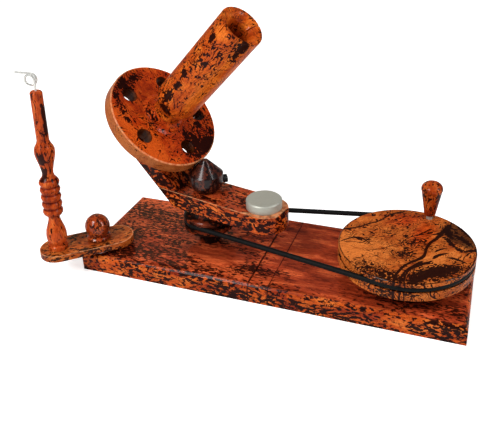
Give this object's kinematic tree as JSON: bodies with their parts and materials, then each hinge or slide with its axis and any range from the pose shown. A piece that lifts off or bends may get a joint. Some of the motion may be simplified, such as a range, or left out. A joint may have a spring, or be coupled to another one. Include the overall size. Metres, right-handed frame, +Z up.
{
  "type": "yarn ball winder",
  "caption": "Wooden yarn ball winder: a crank wheel and round belt turn an arm whose tilted spindle rolls on a fixed cone, with a swivelling yarn guide.",
  "frame": {"origin": "centre of the baseboard's underside, on the table", "axes": "+X along the baseboard to the crank wheel, +Y from the yarn guide's side to the far side, +Z up"},
  "size_m": [0.4905, 0.1957, 0.315],
  "materials": {
    "board_wood": "gloss lacquer",
    "turned_wood": "gloss lacquer",
    "dark_wood": "gloss lacquer",
    "steel": "satin",
    "black_steel": "satin black",
    "satin_aluminium": "satin",
    "bright_wire": "bright",
    "brass": "satin",
    "belt_rubber": "matt"
  },
  "bodies": {
    "frame": {"base_board": "board_wood", "under_nuts": "steel", "under_washers": "steel", "top_nuts": "steel", "top_washers": "steel", "centre_post": "steel", "post_spacer": "steel", "friction_cone": "dark_wood", "cone_lock_screw": "black_steel", "wheel_axle": "steel", "wheel_spacer": "steel", "drive_belt": "belt_rubber", "clamp_bolt": "steel", "guide_spacer": "steel"},
    "rotor": {"rotor_arm": "turned_wood", "driven_pulley": "dark_wood", "pulley_screws": "steel", "rotor_bushes": "brass", "counterweight": "satin_aluminium", "counterweight_screw": "steel", "spindle_bolt": "steel", "spindle_washer": "steel", "spindle_top_washer": "steel", "spindle_lock_nut": "steel"},
    "spindle": {"spindle_flange": "turned_wood", "spindle_tube": "turned_wood", "spindle_bushes": "brass"},
    "wheel": {"drive_wheel": "turned_wood", "wheel_bush": "brass", "crank_pin": "steel", "crank_ferrule": "satin_aluminium"},
    "grip": {"crank_grip": "turned_wood"},
    "guide": {"guide_bar": "turned_wood", "guide_post": "turned_wood", "guide_post_screw": "steel", "yarn_eyelet": "bright_wire"},
    "knob": {"clamp_knob": "turned_wood", "knob_insert": "brass"}
  },
  "joints": [
    {"name": "wheel_spin", "type": "hinge", "parent": "frame", "child": "wheel", "pos_m": [0.15, 0, 0.05], "axis": [0, 0, 1], "continuous": true},
    {"name": "grip_spin", "type": "hinge", "parent": "wheel", "child": "grip", "pos_m": [0.16764, 0.06152, 0.08], "axis": [0, 0, 1], "continuous": true},
    {"name": "rotor_spin", "type": "hinge", "parent": "frame", "child": "rotor", "pos_m": [-0.088, 0, 0.08], "axis": [0, 0, 1], "continuous": true},
    {"name": "spindle_spin", "type": "hinge", "parent": "rotor", "child": "spindle", "pos_m": [-0.14209, 0.01289, 0.178], "axis": [0.6757, -0.161, 0.7193], "continuous": true},
    {"name": "guide_swivel", "type": "hinge", "parent": "frame", "child": "guide", "pos_m": [-0.208, -0.059, 0.034], "axis": [0, 0, 1], "range_deg": [-60, 60]},
    {"name": "knob_turn", "type": "hinge", "parent": "frame", "child": "knob", "pos_m": [-0.208, -0.059, 0.05], "axis": [0, 0, 1], "range_deg": [0, 180]}
  ],
  "couplings": [
    {"joint": "rotor_spin", "follows": "wheel_spin", "ratio": 2.6667},
    {"joint": "spindle_spin", "follows": "wheel_spin", "ratio": 0.458}
  ]
}
